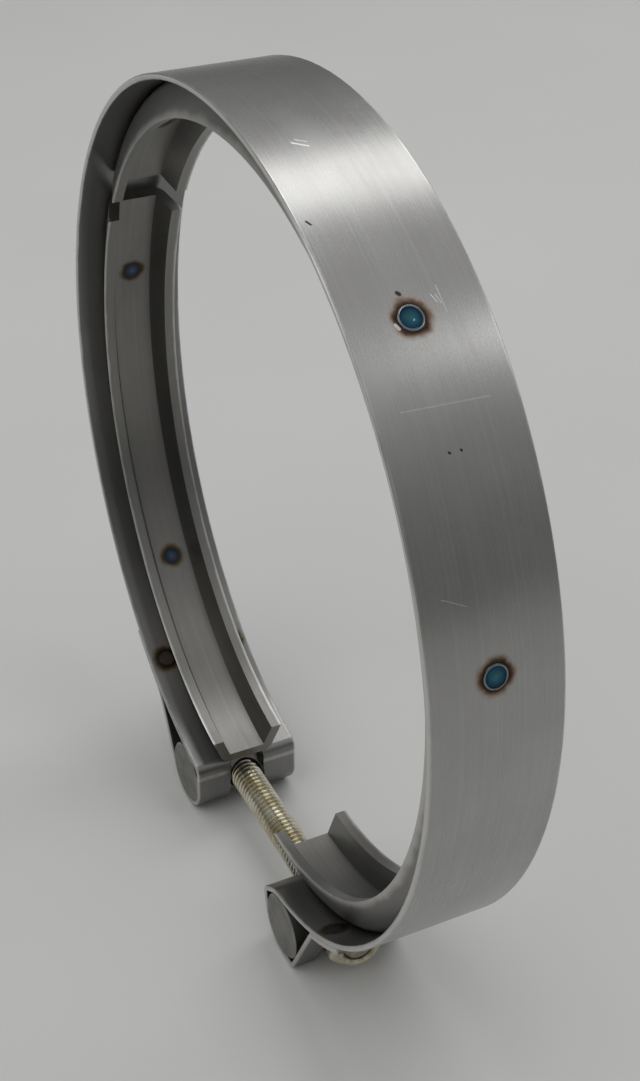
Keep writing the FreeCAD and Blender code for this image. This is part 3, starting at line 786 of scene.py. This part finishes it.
@dataclass
class StrapBand:
    """The outer strap with its folded loops, and the spot welds that show on it."""

    outer_radius: float = 95.0
    half_width: float = 13.75
    weld_places: tuple[tuple[float, float], ...] = (
        (49.5, -1.15),
        (11.1, -0.3),
        (-46.0, 0.0),
        (130.5, 0.4),
        (165.9, 0.0),
        (217.1, 0.0),
    )
    nugget_radius: float = 2.55
    nugget_blank: tuple[float, float] = (0.5, -0.24)  # its depth and its middle's height
    nugget_rings: tuple[tuple[float, float], ...] = (  # each ring's inset and rise, inwards
        (0.16, 0.10),
        (0.16, 0.02),
        (0.26, -0.16),
        (0.45, -0.06),
        (0.55, 0.05),
        (0.5, 0.05),
    )
    tint_share: float = 0.98
    tail_welds: tuple[tuple[WeldStyle, float], ...] = (
        (WeldStyle.TAIL, -126.5),
        (WeldStyle.CROWN, -58.7),
    )
    tail_weld_offset: float = 9.3
    tail_weld_depth: float = 0.6
    marks: tuple[Mark, ...] = (
        Mark((74.8, -5.9), (73.8, -3.4), 0.28, True),
        Mark((75.3, -5.0), (74.6, -3.2), 0.16, True),
        Mark((52.5, -1.9), (52.3, -1.6), 0.55, False),
        Mark((35.2, -2.2), (35.1, -2.0), 0.30, False),
        Mark((35.2, 0.1), (35.1, 0.2), 0.30, False),
        Mark((62.9, -11.8), (62.4, -11.3), 0.30, False),
        Mark((52.5, 5.4), (49.3, 5.6), 0.12, True, 0.5),
        Mark((40.2, -8.6), (39.8, 8.0), 0.16, True, 0.25),
        Mark((68.0, 2.0), (64.5, 3.1), 0.09, True, 0.5),
        Mark((21.0, -9.0), (19.6, -4.5), 0.09, True, 0.35),
        Mark((49.1, -4.4), (48.6, -4.0), 0.42, True, 0.8),
        Mark((51.6, 3.9), (50.6, 4.5), 0.10, True, 0.9),
        Mark((51.5, 4.7), (50.4, 5.2), 0.09, True, 0.8),
    )

    def build(self, shared: SharedEffects) -> None:
        """Dresses the strap and sets a nugget on each weld."""
        finish = SheetFinish(
            name="band_satin_steel",
            light=(0.425, 0.422, 0.411),
            dark=(0.36, 0.357, 0.346),
            roughness=0.245,
            half_width=self.half_width,
            stain=0.45,
            # painted shade: the strap's colour off its outer face is darkened to this share
            inner_painted_shade=0.6,
            welds=self._welds(),
            marks=self.marks,
            face_radius=self.outer_radius,
        ).make(shared)
        dress_cad("outer_band", finish)
        first = self._nugget()
        nuggets = [first]
        for _ in self.weld_places[1:]:
            twin = first.copy()
            twin.data = first.data.copy()
            bpy.context.scene.collection.objects.link(twin)
            nuggets.append(twin)
        for number, (piece, (angle, across)) in enumerate(zip(nuggets, self.weld_places), 1):
            piece.name = piece.data.name = f"weld_nugget_{number}"
            outward = ring_point(1.0 / MM, angle)
            turn = Vector((0, 0, 1)).rotation_difference(outward).to_matrix().to_4x4()
            place = ring_point(self.outer_radius, angle, across)
            move_in_place(piece, Matrix.Translation(place) @ turn)
            cover(piece, finish)
            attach(piece, "band")
            LOG.info("%s set at %.1f degrees", piece.name, angle)

    def _welds(self) -> tuple[Weld, ...]:
        """Lists the tinted places: the welds that have a nugget, and two on each folded tail."""
        size = self.nugget_radius * self.tint_share
        welds = [
            Weld(WeldStyle.OUTSIDE, angle, self.outer_radius, across, size)
            for angle, across in self.weld_places
        ]
        radius = self.outer_radius - self.tail_weld_depth
        for style, angle in self.tail_welds:
            for across in (-self.tail_weld_offset, self.tail_weld_offset):
                welds.append(Weld(style, angle, radius, across, self.nugget_radius))
        return tuple(welds)

    def _nugget(self) -> bpy.types.Object:
        """Models one weld facing +Z: a raised rim round a shallow pan, sunk in the strap."""
        depth, middle_height = self.nugget_blank
        clear_selection()
        bpy.ops.mesh.primitive_cylinder_add(
            vertices=48,
            radius=self.nugget_radius * MM,
            depth=depth * MM,
            location=(0, 0, middle_height * MM),
        )
        piece = bpy.context.object
        piece.name = piece.data.name = "weld_nugget"
        bpy.ops.object.transform_apply(location=True, rotation=True, scale=True)
        with editing(piece):
            select_faces(piece, lambda middle: middle.z > 0)
            for inset, rise in self.nugget_rings:
                bpy.ops.mesh.inset(thickness=inset * MM, depth=0.0)
                bpy.ops.transform.translate(value=(0, 0, rise * MM))
        smooth(piece, 60.0)
        return piece


@dataclass
class RetainerSet:
    """The three rolled V retainers inside the strap."""

    crown_radius: float = 91.25
    half_width: float = 9.3
    weld_size: float = 2.1
    weld_angles: tuple[tuple[str, tuple[float, float]], ...] = (
        ("left_retainer", (165.9, 217.1)),
        ("top_retainer", (49.5, 130.5)),
        ("right_retainer", (11.1, -46.0)),
    )

    def build(self, shared: SharedEffects) -> None:
        """Dresses the retainers, each with its own welds."""
        for node, angles in self.weld_angles:
            finish = SheetFinish(
                name=f"{node}_steel",
                light=(0.28, 0.276, 0.26),
                dark=(0.21, 0.207, 0.195),
                roughness=0.36,
                half_width=self.half_width,
                stain=0.7,
                welds=tuple(
                    Weld(WeldStyle.CROWN, angle, self.crown_radius, 0.0, self.weld_size)
                    for angle in angles
                ),
            ).make(shared)
            dress_cad(node, finish)


@dataclass
class Trunnions:
    """The two bars that the strap's loops are folded round."""

    head_x: float = -33.3
    nut_x: float = 28.0
    half_length: float = 13.95
    # radius round the bolt's axis, in mm, of the painted shade at each bar's bolt hole
    hole_shade_radius: float = 4.75

    def build(self, shared: SharedEffects) -> None:
        """Dresses both bars."""
        for node, middle_x in (("head_trunnion", self.head_x), ("nut_trunnion", self.nut_x)):
            finish = BarFinish(
                name=f"{node}_turned_steel",
                centre=(middle_x, BOLT_HEIGHT),
                colour=(0.34, 0.336, 0.315),
                end_colour=(0.27, 0.266, 0.245),
                roughness=0.34,
                half_length=self.half_length,
                hole_shade_radius=self.hole_shade_radius,
            ).make(shared)
            dress_cad(node, finish)


@dataclass
class TeeBolt:
    """The threaded shank of the tee bolt."""

    start: float = -37.3
    end: float = 42.1
    crest_radius: float = 3.965
    crest_margin: float = 0.004
    root_radius: float = 3.12
    pitch: float = 1.411
    chamfer: float = 0.8
    overrun: float = 0.5
    lead_turns: int = 2
    turn_steps: int = 32
    profile: tuple[tuple[float, float], ...] = (  # runs over the pitch and rises over the depth
        (0.25, 0.0),
        (0.3125, 1.0),
        (0.125, 0.0),
        (0.3125, -1.0),
    )

    def build(self, finish: bpy.types.Material) -> None:
        """Models the thread and lets it stand for the CAD's plain shank."""
        piece = self._thread()
        radius = self.crest_radius + self.crest_margin
        keep = rod("shank_envelope", 64, radius, self.start, self.end)
        with editing(keep):
            select_end(keep, self.end)
            bpy.ops.mesh.bevel(offset=self.chamfer * MM, segments=1, affect="EDGES")
        cut_with(piece, keep, "INTERSECT")
        move_in_place(piece, Matrix.Translation((0, 0, BOLT_HEIGHT * MM)))
        smooth(piece, 34.0)
        cover(piece, finish)
        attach(piece, "tee_bolt")
        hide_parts("stud")
        LOG.info("threaded shank: %d faces", len(piece.data.polygons))

    def _thread(self) -> bpy.types.Object:
        """Winds one pitch of the thread along X into a closed rod, longer than the shank."""
        clear_selection()
        bpy.ops.mesh.primitive_plane_add(size=0.1 * MM, location=(0, 0, 0))
        piece = bpy.context.object
        piece.name = piece.data.name = "threaded_shank"
        self._draw_profile(piece)
        apply_modifier(
            piece,
            "SCREW",
            axis="X",
            angle=2 * math.pi,
            screw_offset=self.pitch * MM,
            iterations=math.ceil((self.end - self.start) / self.pitch) + 2 * self.lead_turns,
            steps=self.turn_steps,
            render_steps=self.turn_steps,
            use_merge_vertices=True,
            merge_threshold=TOUCH,
            use_normal_calculate=True,
        )
        ends = ((self.start - self.overrun, True), (self.end + self.overrun, False))
        with editing(piece):
            for place, low_end in ends:
                bpy.ops.mesh.select_all(action="SELECT")
                bpy.ops.mesh.bisect(
                    plane_co=(place * MM, 0, 0),
                    plane_no=(1, 0, 0),
                    use_fill=True,
                    clear_inner=low_end,
                    clear_outer=not low_end,
                )
            bpy.ops.mesh.select_all(action="SELECT")
            bpy.ops.mesh.remove_doubles(threshold=TOUCH / 10)
            bpy.ops.mesh.normals_make_consistent(inside=False)
        return piece

    def _draw_profile(self, piece: bpy.types.Object) -> None:
        """Shrinks a plane to a point and draws one pitch of the thread from it."""
        first = self.start - self.lead_turns * self.pitch
        depth = self.crest_radius - self.root_radius
        with editing(piece):
            bpy.ops.mesh.select_all(action="SELECT")
            bpy.ops.mesh.merge(type="CENTER")
            bpy.ops.mesh.select_all(action="SELECT")
            bpy.ops.transform.translate(value=(first * MM, 0, self.root_radius * MM))
            for share, rise in self.profile:
                step = (share * self.pitch * MM, 0, rise * depth * MM)
                bpy.ops.mesh.extrude_vertices_move(TRANSFORM_OT_translate={"value": step})


@dataclass
class LockNut:
    """The plated lock nut: a hexagon with a round crown at its outer end."""

    seat: float = 33.9
    hex_height: float = 7.4
    across_flats: float = 12.7
    seat_chamfer: float = 0.5
    outer_chamfer: float = 0.9
    chamfer_slope: float = 1.7
    corner_margin: float = 0.02
    crown_radius: float = 5.4
    crown_height: float = 1.2
    crown_overlap: float = 0.6
    crown_round: float = 0.45
    bore_radius: float = 4.02
    bore_overrun: float = 1.0
    mouth_depth: float = 0.7
    mouth_overrun: float = 0.4
    mouth_flare: float = 1.24
    edge_round: float = 0.12
    round_sides: int = 96
    bore_sides: int = 64
    turn: float = 20.0

    def build(self, finish: bpy.types.Material) -> None:
        """Models the nut and lets it stand for the CAD's plainer one."""
        hex_end = self.seat + self.hex_height
        end = hex_end + self.crown_height
        piece = self._hexagon(hex_end)
        crown = rod(
            "crown", self.round_sides, self.crown_radius, hex_end - self.crown_overlap, end
        )
        with editing(crown):
            select_end(crown, end)
            bpy.ops.mesh.bevel(offset=self.crown_round * MM, segments=3, affect="EDGES")
        cut_with(piece, crown, "UNION")
        over = self.bore_overrun
        bore = rod("bore", self.bore_sides, self.bore_radius, self.seat - over, end + over)
        cut_with(piece, bore, "DIFFERENCE")
        mouth_end = end + self.mouth_overrun
        mouth = rod(
            "mouth", self.bore_sides, self.bore_radius, end - self.mouth_depth, mouth_end
        )
        with editing(mouth):
            select_end(mouth, mouth_end)
            bpy.ops.transform.resize(value=(1, self.mouth_flare, self.mouth_flare))
        cut_with(piece, mouth, "DIFFERENCE")
        turn = Matrix.Rotation(math.radians(self.turn), 4, "X")
        move_in_place(piece, Matrix.Translation((0, 0, BOLT_HEIGHT * MM)) @ turn)
        apply_modifier(
            piece,
            "BEVEL",
            width=self.edge_round * MM,
            segments=2,
            limit_method="ANGLE",
            angle_limit=math.radians(28),
        )
        smooth(piece, 32.0)
        cover(piece, finish)
        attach(piece, "nut")
        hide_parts("lock_nut")
        LOG.info("lock nut: %d faces", len(piece.data.polygons))

    def _hexagon(self, hex_end: float) -> bpy.types.Object:
        """Models the hexagon, up to an X in millimetres, with its corners turned off."""
        corner = self.across_flats / math.sqrt(3.0)
        piece = rod("plated_lock_nut", 6, corner, self.seat, hex_end)
        low = self.seat + self.seat_chamfer
        high = hex_end - self.outer_chamfer
        radius = corner + self.corner_margin
        envelope = rod("corner_envelope", self.round_sides, radius, low, high)
        with editing(envelope):
            for place, way, run in ((high, 1, self.outer_chamfer), (low, -1, self.seat_chamfer)):
                select_end(envelope, place)
                step = (way * run * MM, 0, 0)
                bpy.ops.mesh.extrude_region_move(TRANSFORM_OT_translate={"value": step})
                shrink = 1.0 - run * self.chamfer_slope / corner
                bpy.ops.transform.resize(value=(1, shrink, shrink))
        cut_with(piece, envelope, "INTERSECT")
        return piece


# ---------------------------------------------------------------------------- studio
@dataclass(frozen=True)
class Softbox:
    """A lamp that faces the clamp, with its distance and size in metres and power in watts."""

    name: str
    toward: Triple
    reach: float
    size: tuple[float, float]
    power: float

    def hang(self) -> None:
        """Adds the lamp to the scene."""
        light = bpy.data.lights.new(self.name, "AREA")
        light.shape = "RECTANGLE"
        light.size, light.size_y = self.size
        light.energy = self.power
        lamp = bpy.data.objects.new(self.name, light)
        way = Vector(self.toward).normalized()
        side = (Vector((1, 0, 0)) - way * way.x).normalized()
        turn = Matrix((side, way.cross(side), way)).transposed().to_4x4()
        lamp.matrix_world = Matrix.Translation(way * self.reach) @ turn
        bpy.context.scene.collection.objects.link(lamp)


@dataclass
class Studio:
    """A pale floor, soft light from above and behind, and the camera."""

    floor_size: float = 12.0
    floor_clouds: Noise = Noise(7.0, 3.0)
    floor_colours: tuple[Colour, Colour] = ((0.66, 0.66, 0.65), (0.71, 0.71, 0.70))
    room_colours: tuple[Colour, Colour] = ((0.19, 0.19, 0.187), (0.70, 0.70, 0.71))
    room_levels: tuple[float, float] = (0.05, 1.3)
    softboxes: tuple[Softbox, ...] = (
        Softbox("ceiling_softbox", (-0.33, 0.41, 0.84), 1.5, (0.42, 1.7), 4.7),
        Softbox("side_softbox", (0.40, 0.55, 0.73), 1.6, (0.20, 0.4), 0.7),
        Softbox("front_softbox", (0.15, -0.58, 0.80), 1.9, (1.5, 1.2), 5.6),
    )
    camera_place: Triple = (282.01, -121.54, 189.63)
    azimuth: float = 64.917
    elevation: float = 32.8
    roll: float = -0.568
    lens: float = 54.63

    def build(self) -> None:
        """Sets up the floor, the world, the lamps and the camera."""
        self._floor()
        self._world()
        for softbox in self.softboxes:
            softbox.hang()
        self._camera()
        LOG.info("studio ready")

    def _floor(self) -> None:
        """Lays the floor under the lowest point of the clamp."""
        clear_selection()
        bpy.ops.mesh.primitive_plane_add(size=self.floor_size, location=(0, 0, CAD_BOX[0][2]))
        floor = bpy.context.object
        floor.name = floor.data.name = "floor"
        material = bpy.data.materials.new("floor_paper")
        material.use_nodes = True
        wiring = Wiring(material.node_tree)
        shader = material.node_tree.nodes["Principled BSDF"]
        cloud = wiring.noise(wiring.add("TexCoord").outputs["Object"], self.floor_clouds)
        wiring.put(shader.inputs["Base Color"], wiring.blend(cloud, *self.floor_colours))
        wiring.put(shader.inputs["Roughness"], 0.6)
        wiring.put(shader.inputs["Specular IOR Level"], 0.25)
        cover(floor, material)

    def _world(self) -> None:
        """Gives a plain grey room that is darker at the walls and paler overhead."""
        world = bpy.data.worlds.new("room")
        bpy.context.scene.world = world
        world.use_nodes = True
        wiring = Wiring(world.node_tree)
        background = world.node_tree.nodes["Background"]
        height = wiring.axes(wiring.add("TexCoord").outputs["Generated"])["Z"]
        rise = wiring.fade(height, *self.room_levels)
        wiring.put(background.inputs["Color"], wiring.blend(rise, *self.room_colours))
        wiring.put(background.inputs["Strength"], 1.0)

    def _camera(self) -> None:
        """Places the camera by its azimuth, elevation and roll."""
        a, e, r = (math.radians(v) for v in (self.azimuth, self.elevation, self.roll))
        right = Vector((math.cos(a), math.sin(a), 0))
        back = Vector((math.sin(a) * math.cos(e), -math.cos(a) * math.cos(e), math.sin(e)))
        up = back.cross(right)
        right, up = (
            math.cos(r) * right + math.sin(r) * up,
            math.cos(r) * up - math.sin(r) * right,
        )
        data = bpy.data.cameras.new("camera")
        data.sensor_fit = "VERTICAL"
        data.sensor_height = 36.0
        data.lens = self.lens
        data.clip_start = 0.01
        camera = bpy.data.objects.new("camera", data)
        turn = Matrix((right, up, back)).transposed().to_4x4()
        camera.matrix_world = Matrix.Translation(Vector(self.camera_place) * MM) @ turn
        bpy.context.scene.collection.objects.link(camera)
        bpy.context.scene.camera = camera


def main() -> None:
    """Builds the clamp's sub-assemblies in order, and then the studio."""
    logging.basicConfig(level=logging.INFO, format="%(name)s: %(message)s")
    bpy.context.scene.view_settings.view_transform = "Standard"
    shared = SharedEffects()
    StrapBand().build(shared)
    RetainerSet().build(shared)
    Trunnions().build(shared)
    bolt_plating = PlatingFinish(
        name="bolt_silver_plate",
        bright=(0.88, 0.85, 0.74),
        tarnish=(0.72, 0.66, 0.46),
        dirt=(0.13, 0.115, 0.07),
        roughness=0.15,
        dirty_radius=3.1,
        clean_radius=3.9,
    ).make()
    TeeBolt().build(bolt_plating)
    nut_plating = PlatingFinish(
        name="nut_silver_plate",
        bright=(0.78, 0.74, 0.60),
        tarnish=(0.60, 0.54, 0.36),
        dirt=(0.13, 0.11, 0.065),
        roughness=0.22,
        dirty_radius=3.7,
        clean_radius=5.0,
    ).make()
    LockNut().build(nut_plating)
    Studio().build()


if __name__ == "__main__":
    main()
